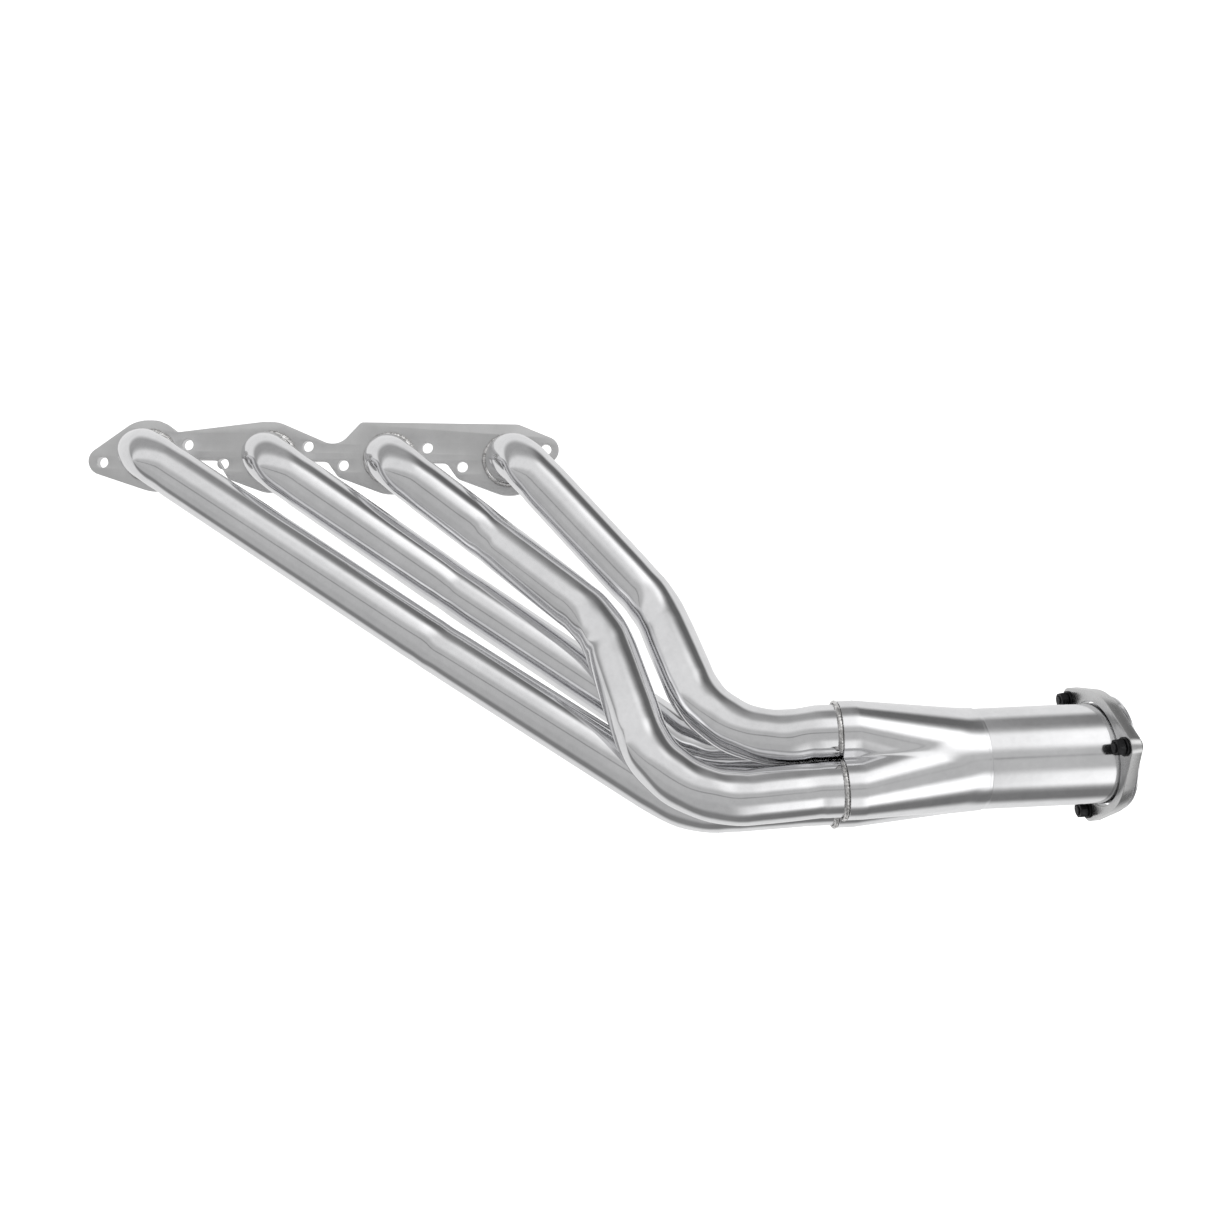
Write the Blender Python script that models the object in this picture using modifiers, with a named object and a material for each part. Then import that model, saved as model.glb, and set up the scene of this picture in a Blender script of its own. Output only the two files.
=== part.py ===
"""Long-tube exhaust manifold: four primary tubes from one head flange into a merge collector.

Frame: +X along the row of ports towards the outlet, +Z up, -Y away from the cylinder head.
The head flange's mating face lies in the plane y = 0. The origin is on that face, half way
between ports 2 and 3 and at the mean height of the bolt holes. Lengths are in metres.
"""

import math

import bmesh
import bpy
from mathutils import Matrix, Vector

# ---------------------------------------------------------------- driving dimensions
GAP = 0.0003                 # clearance between neighbouring pieces

PORT_PITCH = 0.12294         # bore spacing of the cylinder head
BOLT_DX = 0.0433             # each port's two bolt holes, from their midpoint
BOLT_DZ = 0.0096
BOLT_HOLE_R = 0.0056
PORT_SHIFT_X = 0.0050        # port centre, from that midpoint
PORT_SHIFT_Z = -0.0023
PLATE_T = 0.0095
TUBE_OD = 0.0490
PORT_WALL_R = TUBE_OD / 2 + 0.0121   # plate metal round a port
TUBE_WALL = 0.0016
TUBE_RECESS = 0.0015         # tube end behind the mating face
FIRST_CORNER = 0.0080        # beyond the plate, and clear of the weld with its bend
FIRST_BEND_R = 0.050
ROUTE_BEND_R = 0.110
COLLECTOR_BEND_R = 0.090
LEG_FILL = 0.98              # most of a leg that the bends at its two ends may take

WELD_LEG = 0.0036            # fillet weld round each port

COLLECTOR_AT = (0.4920, -0.1953, -0.2930)   # centre of the collector's inlet
COLLECTOR_YAW = math.radians(-1.85)
COLLECTOR_PITCH = math.radians(3.2)
CLUSTER_GAP = 0.00055        # four tubes side by side
CLUSTER_R = TUBE_OD / math.sqrt(2) + CLUSTER_GAP   # tube centres from the collector's axis
CLUSTER_TURN = math.radians(-27.0)
SOCKET = 0.010               # tube end inside the collector
SOCKET_GAP = 0.0010          # round the tube in its socket
COLLECTOR_L = 0.1240
COLLECTOR_WALL = 0.0015
OUTLET_OD = 0.0889
OUTLET_L = 0.1236
OUTLET_END = COLLECTOR_L + OUTLET_L   # from the inlet
LIP_OUT = 0.0055             # flare beyond the tube's outside
LIP_R = OUTLET_OD / 2 + LIP_OUT
LIP_L = 0.0036
SEAM_W = 0.0024
PLUG_R = CLUSTER_R - TUBE_OD / 2 - 0.0007   # fills the space between the four tubes

FLANGE_BACK = 0.0144         # centre of the loose flange, from the tube's end
FLANGE_AT = OUTLET_END - FLANGE_BACK
FLANGE_T = 0.0095
FLANGE_TILT = math.radians(4.8)   # its front leans to the outlet
FLANGE_LEAN = math.radians(2.1)   # its top leans to the inlet
FLANGE_LIFT = 0.0016         # its outline's centre is above its bore's, which is on the tube's axis
FLANGE_PLAY = 0.0020         # round the tube
FLANGE_RING = 0.00855        # rim metal round the bore
FLANGE_BORE_R = OUTLET_OD / 2 + FLANGE_PLAY
FLANGE_RIM_R = FLANGE_BORE_R + FLANGE_RING
LOBE_AT = FLANGE_RIM_R + 0.0025   # bolt circle radius
LOBE_TURN = math.radians(11.0)

STUD_R = 0.0040
FLANGE_HOLE_R = STUD_R + 0.0006
STUD_OUT = 0.0140            # thread end above the flange's inlet side
HEX_R = 0.0076               # hexagon, to its corners
HEAD_T = 0.0025
NUT_T = 0.0068
WASHER_R = HEX_R + 0.0006
LOBE_R = WASHER_R + 0.0028    # lobe metal round a washer
WASHER_T = 0.0016

TUBE_SIDES = 16
ROUND_SIDES = 48
ARC_STEP = math.radians(14.0)

# Corners of each tube's centre line after its port, before the bends are rounded.
# The first is measured from the port's centre, and the rest from the origin.
ROUTES = {
    1: ((0.0065, -0.068, 0.0006), (0.1282, -0.112, -0.1938), (0.3649, -0.172, -0.3358)),
    2: ((0.0028, -0.068, -0.0030), (0.1417, -0.080, -0.1387), (0.3728, -0.132, -0.2886)),
    3: ((0.0046, -0.068, -0.0060), (0.1773, -0.080, -0.0883), (0.2841, -0.134, -0.1708),
        (0.3376, -0.230, -0.3237)),
    4: ((0.0083, -0.068, 0.0003), (0.3361, -0.122, -0.1530), (0.3865, -0.200, -0.2790)),
}
# Quarter of the collector each tube enters, from the front one, anticlockwise.
SEATS = {3: 0, 4: 1, 2: 2, 1: 3}

# ---------------------------------------------------------------- scene and materials
for old in list(bpy.data.objects):
    bpy.data.objects.remove(old, do_unlink=True)

PARTS = bpy.data.collections.new("exhaust_manifold")
bpy.context.scene.collection.children.link(PARTS)


def material(name, colour, metallic, roughness):
    made = bpy.data.materials.new(name)
    made.use_nodes = True
    shader = made.node_tree.nodes["Principled BSDF"]
    shader.inputs["Base Color"].default_value = (*colour, 1.0)
    shader.inputs["Metallic"].default_value = metallic
    shader.inputs["Roughness"].default_value = roughness
    return made


STAINLESS = (0.72, 0.72, 0.73)
BLACK = (0.02, 0.02, 0.022)


def finish(name, mesh, place, colour, metallic, roughness):
    """One named part from a mesh, welded, facing out, with its own material."""
    work = bmesh.new()
    work.from_mesh(mesh)
    bmesh.ops.remove_doubles(work, verts=work.verts, dist=1e-6)
    bmesh.ops.recalc_face_normals(work, faces=work.faces)
    work.to_mesh(mesh)
    work.free()
    mesh.materials.clear()
    mesh.materials.append(material(name + "_material", colour, metallic, roughness))
    mesh.shade_smooth()
    mesh.set_sharp_from_angle(angle=math.radians(38))
    part = bpy.data.objects.new(name, mesh)
    part.matrix_world = place
    PARTS.objects.link(part)
    return part


def baked(helper):
    """The helper's evaluated mesh. The helper is removed."""
    bpy.context.view_layer.update()
    graph = bpy.context.evaluated_depsgraph_get()
    mesh = bpy.data.meshes.new_from_object(helper.evaluated_get(graph))
    bpy.data.objects.remove(helper, do_unlink=True)
    return mesh


def helper_of(data, name):
    helper = bpy.data.objects.new(name, data)
    PARTS.objects.link(helper)
    return helper


# ---------------------------------------------------------------- shape helpers
def rounded(corners, closed):
    """Points along straight legs whose corners, (position, radius), are rounded by arcs."""
    points = []
    count = len(corners)
    for index, (corner, radius) in enumerate(corners):
        corner = Vector(corner)
        if not closed and index in (0, count - 1):
            points.append(corner)
            continue
        before = (Vector(corners[index - 1][0]) - corner).normalized()
        after = (Vector(corners[(index + 1) % count][0]) - corner).normalized()
        turn = math.pi - before.angle(after)
        if turn < 1e-4 or radius <= 0:
            points.append(corner)
            continue
        reach = radius * math.tan(turn / 2)
        centre = corner + (before + after).normalized() * (radius / math.cos(turn / 2))
        start = corner + before * reach - centre
        end = corner + after * reach - centre
        steps = max(1, math.ceil(turn / ARC_STEP))
        for step in range(steps + 1):
            part = step / steps
            weight_a = math.sin((1 - part) * turn) / math.sin(turn)
            weight_b = math.sin(part * turn) / math.sin(turn)
            points.append(centre + start * weight_a + end * weight_b)
    return points


def ring(x, y, radius, sides):
    return [
        (x + radius * math.cos(2 * math.pi * i / sides),
         y + radius * math.sin(2 * math.pi * i / sides))
        for i in range(sides)
    ]


def sheet(name, outlines, thickness):
    """A flat plate in local XY with holes, centred on z = 0."""
    curve = bpy.data.curves.new(name, "CURVE")
    curve.dimensions = "2D"
    curve.fill_mode = "BOTH"
    curve.extrude = thickness / 2
    for outline in outlines:
        spline = curve.splines.new("POLY")
        spline.points.add(len(outline) - 1)
        for point, at in zip(spline.points, outline):
            point.co = (at[0], at[1], 0, 1)
        spline.use_cyclic_u = True
    return baked(helper_of(curve, name))


def pipe(name, points, radius, sides, caps):
    """A round bar, or with no caps an open tube surface, along a centre line."""
    curve = bpy.data.curves.new(name, "CURVE")
    curve.dimensions = "3D"
    curve.bevel_depth = radius
    curve.bevel_resolution = (sides - 4) // 2
    curve.use_fill_caps = caps
    spline = curve.splines.new("POLY")
    spline.points.add(len(points) - 1)
    for point, at in zip(spline.points, points):
        point.co = (*at, 1)
    return baked(helper_of(curve, name))


def shell(name, mesh, wall):
    """A closed shell inside an open surface."""
    work = bmesh.new()
    work.from_mesh(mesh)
    bmesh.ops.remove_doubles(work, verts=work.verts, dist=1e-6)
    bmesh.ops.recalc_face_normals(work, faces=work.faces)
    work.to_mesh(mesh)
    work.free()
    helper = helper_of(mesh, name)
    solidify = helper.modifiers.new("wall", "SOLIDIFY")
    solidify.thickness = wall
    solidify.offset = -1
    solidify.use_even_offset = True
    return baked(helper)


def turned(name, profile, sides):
    """A closed profile of (radius, height) turned round local Z."""
    mesh = bpy.data.meshes.new(name)
    count = len(profile)
    mesh.from_pydata(
        [(r, 0, z) for r, z in profile], [(i, (i + 1) % count) for i in range(count)], []
    )
    helper = helper_of(mesh, name)
    screw = helper.modifiers.new("turn", "SCREW")
    screw.axis = "Z"
    screw.angle = 2 * math.pi
    screw.steps = sides
    screw.render_steps = sides
    screw.use_merge_vertices = True
    screw.merge_threshold = 0.00001
    return baked(helper)


# ---------------------------------------------------------------- frames
def station(port):
    """Midpoint of a port's two bolt holes."""
    return (port - 2.5) * PORT_PITCH


def port_centre(port):
    return (station(port) + PORT_SHIFT_X, PORT_SHIFT_Z)


# Local Z runs along the collector to its outlet, local X up and local Y to the front.
COLLECTOR_AXIS = Vector((
    math.cos(COLLECTOR_PITCH) * math.cos(COLLECTOR_YAW),
    math.cos(COLLECTOR_PITCH) * math.sin(COLLECTOR_YAW),
    math.sin(COLLECTOR_PITCH),
))
FRONT = COLLECTOR_AXIS.cross(Vector((0, 0, 1))).normalized()
UP = FRONT.cross(COLLECTOR_AXIS)
COLLECTOR = Matrix.Translation(COLLECTOR_AT) @ Matrix((UP, FRONT, COLLECTOR_AXIS)).transposed().to_4x4()
FLANGE = (
    COLLECTOR
    @ Matrix.Translation((FLANGE_LIFT, 0, FLANGE_AT))
    @ Matrix.Rotation(FLANGE_TILT, 4, "X")
    @ Matrix.Rotation(FLANGE_LEAN, 4, "Y")
)
PLATE = Matrix.Translation((0, -PLATE_T / 2, 0)) @ Matrix.Rotation(math.pi / 2, 4, "X")
HALF = math.pi / 2


def seat_angle(tube):
    """Direction of a tube's seat in the collector's local XY plane."""
    return HALF - CLUSTER_TURN - SEATS[tube] * HALF


# ---------------------------------------------------------------- head flange
BOTTOM = PORT_SHIFT_Z - PORT_WALL_R
TOP = PORT_SHIFT_Z + PORT_WALL_R
HIGH = TOP + 0.0010          # straight edge over ports 3 and 4
LEFT_BOLT = station(1) - BOLT_DX
RIGHT_BOLT = station(4) + BOLT_DX
NOTCH_Z = -0.0059
NOTCH_SIDE = {2: 0.046, 3: 0.0565, 4: 0.0565}   # notch's right side, left of its port centre


def head_outline():
    """Clockwise from the left bolt's lobe, as (x, z) corners with radii."""
    x1, x2, x4 = port_centre(1)[0], port_centre(2)[0], port_centre(4)[0]
    corners = [
        ((LEFT_BOLT - 0.0309, -BOLT_DZ - 0.0039), 0.0142),
        ((x1 - 0.0140, TOP), 0.0366),
        ((x1 + 0.0118, TOP), 0.0250),
        ((x1 + 0.0275, TOP - 0.0119), 0.0060),
        ((x2 - 0.0086, TOP), 0.0400),
        ((x2 + 0.0085, TOP), 0.0300),
        ((0.0119, 0.0090), 0.0200),
        ((0.0363, HIGH), 0.0060),
        ((x4 + 0.0096, HIGH), 0.0120),
        ((RIGHT_BOLT + 0.0215, BOLT_DZ + 0.0059), 0.0135),
        ((x4 + 0.0180, BOTTOM), 0.0366),
    ]
    for port in (4, 3, 2):
        x, before = port_centre(port)[0], port_centre(port - 1)[0]
        side = x - NOTCH_SIDE[port]
        corners += [
            ((x - 0.0065, BOTTOM), 0.0366),
            ((side + 0.0030, BOTTOM + (0.0535 - 0.0565 + NOTCH_SIDE[port] - 0.0065) * 0.36), 0.0090),
            ((side - 0.0085, NOTCH_Z), 0.0070),
            ((before + PORT_WALL_R, NOTCH_Z), 0.0028),
            ((before + PORT_WALL_R, BOTTOM), 0.0300),
        ]
    corners.append(((x1 - 0.0015, BOTTOM), 0.0366))
    return rounded([(Vector((*at, 0)), radius) for at, radius in corners], True)


def bolt_holes():
    for port in (1, 2, 3, 4):
        for side in (-1, 1):
            yield station(port) + side * BOLT_DX, side * BOLT_DZ


outlines = [[(point.x, point.y) for point in head_outline()]]
outlines += [ring(x, z, BOLT_HOLE_R, 16) for x, z in bolt_holes()]
outlines += [ring(*port_centre(port), TUBE_OD / 2 + GAP, 32) for port in (1, 2, 3, 4)]
finish("head_flange", sheet("head_flange", outlines, PLATE_T), PLATE, (0.55, 0.55, 0.55), 0.9, 0.45)

def fitted(corners):
    """The corners, with the radii of neighbouring bends shrunk where they would overrun the leg between them."""
    places = [Vector(corner) for corner, _ in corners]
    reaches = [0.0] * len(corners)
    for index in range(1, len(corners) - 1):
        before = places[index - 1] - places[index]
        after = places[index + 1] - places[index]
        reaches[index] = corners[index][1] * math.tan((math.pi - before.angle(after)) / 2)
    share = [1.0] * len(corners)
    for index in range(len(corners) - 1):
        room = LEG_FILL * (places[index + 1] - places[index]).length
        needed = reaches[index] + reaches[index + 1]
        if needed > room:
            share[index] = min(share[index], room / needed)
            share[index + 1] = min(share[index + 1], room / needed)
    return [(corner, radius * part) for (corner, radius), part in zip(corners, share)]


# ---------------------------------------------------------------- primary tubes and their welds
for tube in (1, 2, 3, 4):
    px, pz = port_centre(tube)
    angle = seat_angle(tube)
    across = Vector((math.cos(angle) * CLUSTER_R, math.sin(angle) * CLUSTER_R, 0))
    turn_in = COLLECTOR @ (across + Vector((0, 0, -0.022)))
    end = COLLECTOR @ (across + Vector((0, 0, SOCKET)))
    lead, *middle, last = ROUTES[tube]
    first = (px + lead[0], lead[1], pz + lead[2])
    route = [
        ((px, -TUBE_RECESS, pz), 0),
        ((px, -PLATE_T - FIRST_CORNER, pz), FIRST_BEND_R),
        (first, FIRST_BEND_R),
        *((corner, ROUTE_BEND_R) for corner in middle),
        (last, COLLECTOR_BEND_R),
        (turn_in, COLLECTOR_BEND_R),
        (end, 0),
    ]
    name = f"primary_tube_{tube}"
    surface = pipe(name, rounded(fitted(route), False), TUBE_OD / 2, TUBE_SIDES, False)
    finish(name, shell(name, surface, TUBE_WALL), Matrix.Identity(4), STAINLESS, 1.0, 0.08)

    inner = TUBE_OD / 2 + GAP
    profile = [
        (inner, 0),
        (inner + WELD_LEG, 0),
        (inner + WELD_LEG * 0.80, WELD_LEG * 0.42),
        (inner + WELD_LEG * 0.42, WELD_LEG * 0.80),
        (inner, WELD_LEG),
    ]
    place = Matrix.Translation((px, -PLATE_T - GAP, pz)) @ Matrix.Rotation(HALF, 4, "X")
    name = f"port_weld_{tube}"
    finish(name, turned(name, profile, 24), place, (0.60, 0.59, 0.57), 1.0, 0.30)

# ---------------------------------------------------------------- collector
SOCKET_R = TUBE_OD / 2 + SOCKET_GAP


def lobed(angle, centre, radius):
    """Distance from the axis to the outside of four round lobes, in one direction."""
    off = (angle - seat_angle(3) + math.pi / 4) % HALF - math.pi / 4
    inside = radius ** 2 - (centre * math.sin(off)) ** 2
    return centre * math.cos(off) + math.sqrt(max(inside, 0.0))


def collector_mesh():
    outer_r, outlet_r = SOCKET_R + COLLECTOR_WALL, OUTLET_OD / 2
    length = COLLECTOR_L - SEAM_W / 2 - GAP
    heights = [0.0, SOCKET + 0.004] + [length * part for part in (0.24, 0.37, 0.50, 0.65, 0.82, 1.0)]
    work = bmesh.new()
    rings = []
    for wall in (0.0, COLLECTOR_WALL):
        made = []
        for height in heights:
            part = min(max((height - SOCKET - 0.004) / (length - SOCKET - 0.004), 0.0), 1.0)
            centre = CLUSTER_R * (1 - part)
            radius = outer_r + (outlet_r - outer_r) * part - wall
            made.append([
                work.verts.new((
                    lobed(angle, centre, radius) * math.cos(angle),
                    lobed(angle, centre, radius) * math.sin(angle),
                    height,
                ))
                for angle in (
                    seat_angle(3) + 2 * math.pi * i / ROUND_SIDES for i in range(ROUND_SIDES)
                )
            ])
        rings.append(made)
    outside, inside = rings
    loop = outside + inside[::-1]
    for lower, upper in zip(loop, loop[1:] + loop[:1]):
        for i in range(ROUND_SIDES):
            j = (i + 1) % ROUND_SIDES
            work.faces.new((lower[i], lower[j], upper[j], upper[i]))
    mesh = bpy.data.meshes.new("collector_body")
    work.to_mesh(mesh)
    work.free()
    return mesh


finish("collector_body", collector_mesh(), COLLECTOR, STAINLESS, 1.0, 0.08)

for tube in (1, 2, 3, 4):
    angle = seat_angle(tube)
    bead, reach = 0.0020, math.radians(100)
    ring_r = TUBE_OD / 2 + GAP + bead
    middle = Vector((math.cos(angle) * CLUSTER_R, math.sin(angle) * CLUSTER_R, -GAP - bead))
    arc = [
        middle + Vector((math.cos(angle + reach * (i / 8 - 1)), math.sin(angle + reach * (i / 8 - 1)), 0))
        * ring_r
        for i in range(17)
    ]
    name = f"collector_weld_{tube}"
    finish(name, pipe(name, arc, bead, 8, True), COLLECTOR, (0.60, 0.59, 0.57), 1.0, 0.30)

# Four-sided plug that closes the space between the tube ends.
plug = bmesh.new()
bmesh.ops.create_cone(plug, cap_ends=True, segments=8, radius1=PLUG_R, radius2=0.0010, depth=0.024)
plug_mesh = bpy.data.meshes.new("collector_centre_plug")
plug.to_mesh(plug_mesh)
plug.free()
finish("collector_centre_plug", plug_mesh, COLLECTOR @ Matrix.Translation((0, 0, 0.010)), STAINLESS, 1.0, 0.25)

out_r, in_r = OUTLET_OD / 2, OUTLET_OD / 2 - COLLECTOR_WALL
seam = [
    (in_r, COLLECTOR_L - SEAM_W / 2),
    (in_r, COLLECTOR_L + SEAM_W / 2),
    (out_r, COLLECTOR_L + SEAM_W / 2),
    (out_r + 0.0003, COLLECTOR_L),
    (out_r, COLLECTOR_L - SEAM_W / 2),
]
finish("collector_seam_weld", turned("collector_seam_weld", seam, ROUND_SIDES), COLLECTOR,
       (0.60, 0.59, 0.57), 1.0, 0.25)

start = COLLECTOR_L + SEAM_W / 2 + GAP
outlet = [
    (in_r, start),
    (out_r, start),
    (out_r, OUTLET_END - LIP_L),
    (out_r + (LIP_R - out_r) * 0.30, OUTLET_END - LIP_L * 0.55),
    (LIP_R, OUTLET_END - COLLECTOR_WALL),
    (LIP_R, OUTLET_END),
    (LIP_R - 0.0022, OUTLET_END),
    (in_r + (LIP_R - out_r) * 0.25, OUTLET_END - LIP_L * 0.38),
    (in_r, OUTLET_END - LIP_L * 0.90),
]
finish("collector_outlet_tube", turned("collector_outlet_tube", outlet, ROUND_SIDES), COLLECTOR,
       STAINLESS, 1.0, 0.08)


# ---------------------------------------------------------------- loose outlet flange
def lobe_angle(index):
    """Direction of a bolt in the flange's local XY plane."""
    return HALF - LOBE_TURN - index * 2 * math.pi / 3


def flange_outline():
    """Tangent lines from a round rim out to three rounded lobes."""
    points = []
    lean = math.acos((FLANGE_RIM_R - LOBE_R) / LOBE_AT)
    for index in range(3):
        middle = lobe_angle(-index)
        for side in (-1, 1):
            # On the lobe, between its two tangent points.
            turns = range(7) if side < 0 else ()
            for step in turns:
                at = middle + lean * (step / 3 - 1)
                points.append((
                    LOBE_AT * math.cos(middle) + LOBE_R * math.cos(at),
                    LOBE_AT * math.sin(middle) + LOBE_R * math.sin(at),
                ))
        # On the rim, from this lobe's last tangent point to the next one's first.
        span = 2 * math.pi / 3 - 2 * lean
        for step in range(9):
            at = middle + lean + span * step / 8
            points.append((FLANGE_RIM_R * math.cos(at), FLANGE_RIM_R * math.sin(at)))
    return points


bolt_spots = [
    (LOBE_AT * math.cos(lobe_angle(i)), LOBE_AT * math.sin(lobe_angle(i))) for i in range(3)
]
outlines = [flange_outline(), ring(-FLANGE_LIFT, 0, FLANGE_BORE_R, ROUND_SIDES)]
outlines += [ring(x, y, FLANGE_HOLE_R, 16) for x, y in bolt_spots]
finish("collector_flange", sheet("collector_flange", outlines, FLANGE_T), FLANGE,
       (0.50, 0.50, 0.50), 1.0, 0.30)

# ---------------------------------------------------------------- flange bolts, nuts and washers
for index, (x, y) in enumerate(bolt_spots, start=1):
    spin = Matrix.Rotation(lobe_angle(index - 1), 4, "Z")
    seat = FLANGE @ Matrix.Translation((x, y, 0)) @ spin
    hexagon = ring(0, 0, HEX_R, 6)

    washer_z = -FLANGE_T / 2 - GAP - WASHER_T / 2
    name = f"flange_washer_{index}"
    finish(name, sheet(name, [ring(0, 0, WASHER_R, 24), ring(0, 0, STUD_R + 0.0005, 16)], WASHER_T),
           seat @ Matrix.Translation((0, 0, washer_z)), BLACK, 0.6, 0.5)

    nut_z = washer_z - WASHER_T / 2 - GAP - NUT_T / 2
    name = f"flange_nut_{index}"
    finish(name, sheet(name, [hexagon, ring(0, 0, STUD_R + GAP, 16)], NUT_T),
           seat @ Matrix.Translation((0, 0, nut_z)), BLACK, 0.6, 0.5)

    head_z = FLANGE_T / 2 + GAP
    name = f"flange_bolt_{index}"
    bolt = bmesh.new()
    bmesh.ops.create_cone(bolt, cap_ends=True, segments=16, radius1=STUD_R, radius2=STUD_R,
                          depth=FLANGE_T / 2 + STUD_OUT + HEAD_T)
    length = FLANGE_T / 2 + STUD_OUT + HEAD_T
    bmesh.ops.translate(bolt, verts=bolt.verts, vec=(0, 0, head_z + HEAD_T / 2 - length / 2))
    shank_mesh = bpy.data.meshes.new(name)
    bolt.to_mesh(shank_mesh)
    bolt.free()
    shank = helper_of(shank_mesh, name)
    head = helper_of(sheet(name + "_head", [hexagon], HEAD_T), name + "_head")
    head.location.z = head_z + HEAD_T / 2
    join = shank.modifiers.new("head", "BOOLEAN")
    join.operation = "UNION"
    join.solver = "EXACT"
    join.object = head
    mesh = baked(shank)
    bpy.data.objects.remove(head, do_unlink=True)
    finish(name, mesh, seat, BLACK, 0.6, 0.5)
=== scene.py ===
"""Looks of the long-tube exhaust manifold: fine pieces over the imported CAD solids, studio and camera."""

import math

import bmesh
import bpy
import numpy as np
from mathutils import Matrix, Vector


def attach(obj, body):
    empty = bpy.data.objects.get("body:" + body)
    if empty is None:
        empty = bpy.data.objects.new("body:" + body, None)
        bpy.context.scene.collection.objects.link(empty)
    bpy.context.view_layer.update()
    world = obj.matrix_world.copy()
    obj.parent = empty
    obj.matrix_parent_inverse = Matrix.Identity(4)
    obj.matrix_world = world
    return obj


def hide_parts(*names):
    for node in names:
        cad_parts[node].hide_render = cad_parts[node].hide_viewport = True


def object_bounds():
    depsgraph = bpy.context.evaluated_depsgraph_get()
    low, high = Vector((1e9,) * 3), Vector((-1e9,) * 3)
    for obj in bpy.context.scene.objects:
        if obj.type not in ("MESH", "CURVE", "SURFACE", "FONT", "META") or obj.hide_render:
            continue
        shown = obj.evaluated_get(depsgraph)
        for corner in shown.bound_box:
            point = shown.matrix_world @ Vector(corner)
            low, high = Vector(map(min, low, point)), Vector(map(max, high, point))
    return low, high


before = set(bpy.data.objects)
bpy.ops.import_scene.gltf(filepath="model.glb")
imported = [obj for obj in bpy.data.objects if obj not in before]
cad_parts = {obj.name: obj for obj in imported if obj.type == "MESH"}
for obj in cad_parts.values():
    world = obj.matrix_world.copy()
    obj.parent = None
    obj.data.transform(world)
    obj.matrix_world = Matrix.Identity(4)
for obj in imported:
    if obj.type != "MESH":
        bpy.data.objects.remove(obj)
CAD_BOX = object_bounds()

# ------------------------------------------------------------ sizes, in metres
GAP = 0.0003
PORT_PITCH, BOLT_DX, BOLT_DZ, BOLT_HOLE_R = 0.12294, 0.0433, 0.0096, 0.0056
PORT_SHIFT_X, PORT_SHIFT_Z = 0.0050, -0.0023
PLATE_T = 0.0095
TUBE_OD, TUBE_WALL, TUBE_RECESS = 0.0490, 0.0016, 0.0015
PORT_WALL_R = TUBE_OD / 2 + 0.0121
FIRST_CORNER = 0.0080
FIRST_BEND_R, ROUTE_BEND_R, COLLECTOR_BEND_R = 0.050, 0.110, 0.090
WELD_LEG = 0.0036
COLLECTOR_AT = (0.4920, -0.1953, -0.2930)
COLLECTOR_YAW, COLLECTOR_PITCH = math.radians(-1.85), math.radians(3.2)
CLUSTER_R, CLUSTER_TURN = TUBE_OD / math.sqrt(2) + 0.00055, math.radians(-27.0)
SOCKET, SOCKET_GAP = 0.010, 0.0010
COLLECTOR_L, COLLECTOR_WALL = 0.1240, 0.0015
OUTLET_OD, OUTLET_L, LIP_L, SEAM_W = 0.0889, 0.1236, 0.0036, 0.0024
OUTLET_END = COLLECTOR_L + OUTLET_L
LIP_R = OUTLET_OD / 2 + 0.0055
FLANGE_AT, FLANGE_T = OUTLET_END - 0.0144, 0.0095
FLANGE_TILT, FLANGE_LEAN, FLANGE_LIFT = math.radians(4.8), math.radians(2.1), 0.0016
FLANGE_BORE_R = OUTLET_OD / 2 + 0.0020
FLANGE_RIM_R = FLANGE_BORE_R + 0.00855
LOBE_AT, LOBE_TURN = FLANGE_RIM_R + 0.0025, math.radians(11.0)
STUD_R, STUD_OUT, HEX_R, HEAD_T, NUT_T = 0.0040, 0.0140, 0.0076, 0.0025, 0.0068
WASHER_R, WASHER_T = HEX_R + 0.0006, 0.0016
LOBE_R, FLANGE_HOLE_R = WASHER_R + 0.0028, STUD_R + 0.0006
ROUTES = {
    1: ((0.0065, -0.068, 0.0006), (0.1282, -0.112, -0.1938), (0.3649, -0.172, -0.3358)),
    2: ((0.0028, -0.068, -0.0030), (0.1417, -0.080, -0.1387), (0.3728, -0.132, -0.2886)),
    3: ((0.0046, -0.068, -0.0060), (0.1773, -0.080, -0.0883), (0.2841, -0.134, -0.1708),
        (0.3376, -0.230, -0.3237)),
    4: ((0.0083, -0.068, 0.0003), (0.3361, -0.122, -0.1530), (0.3865, -0.200, -0.2790)),
}
SEATS = {3: 0, 4: 1, 2: 2, 1: 3}
HALF = math.pi / 2
TAU = 2 * math.pi


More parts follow.
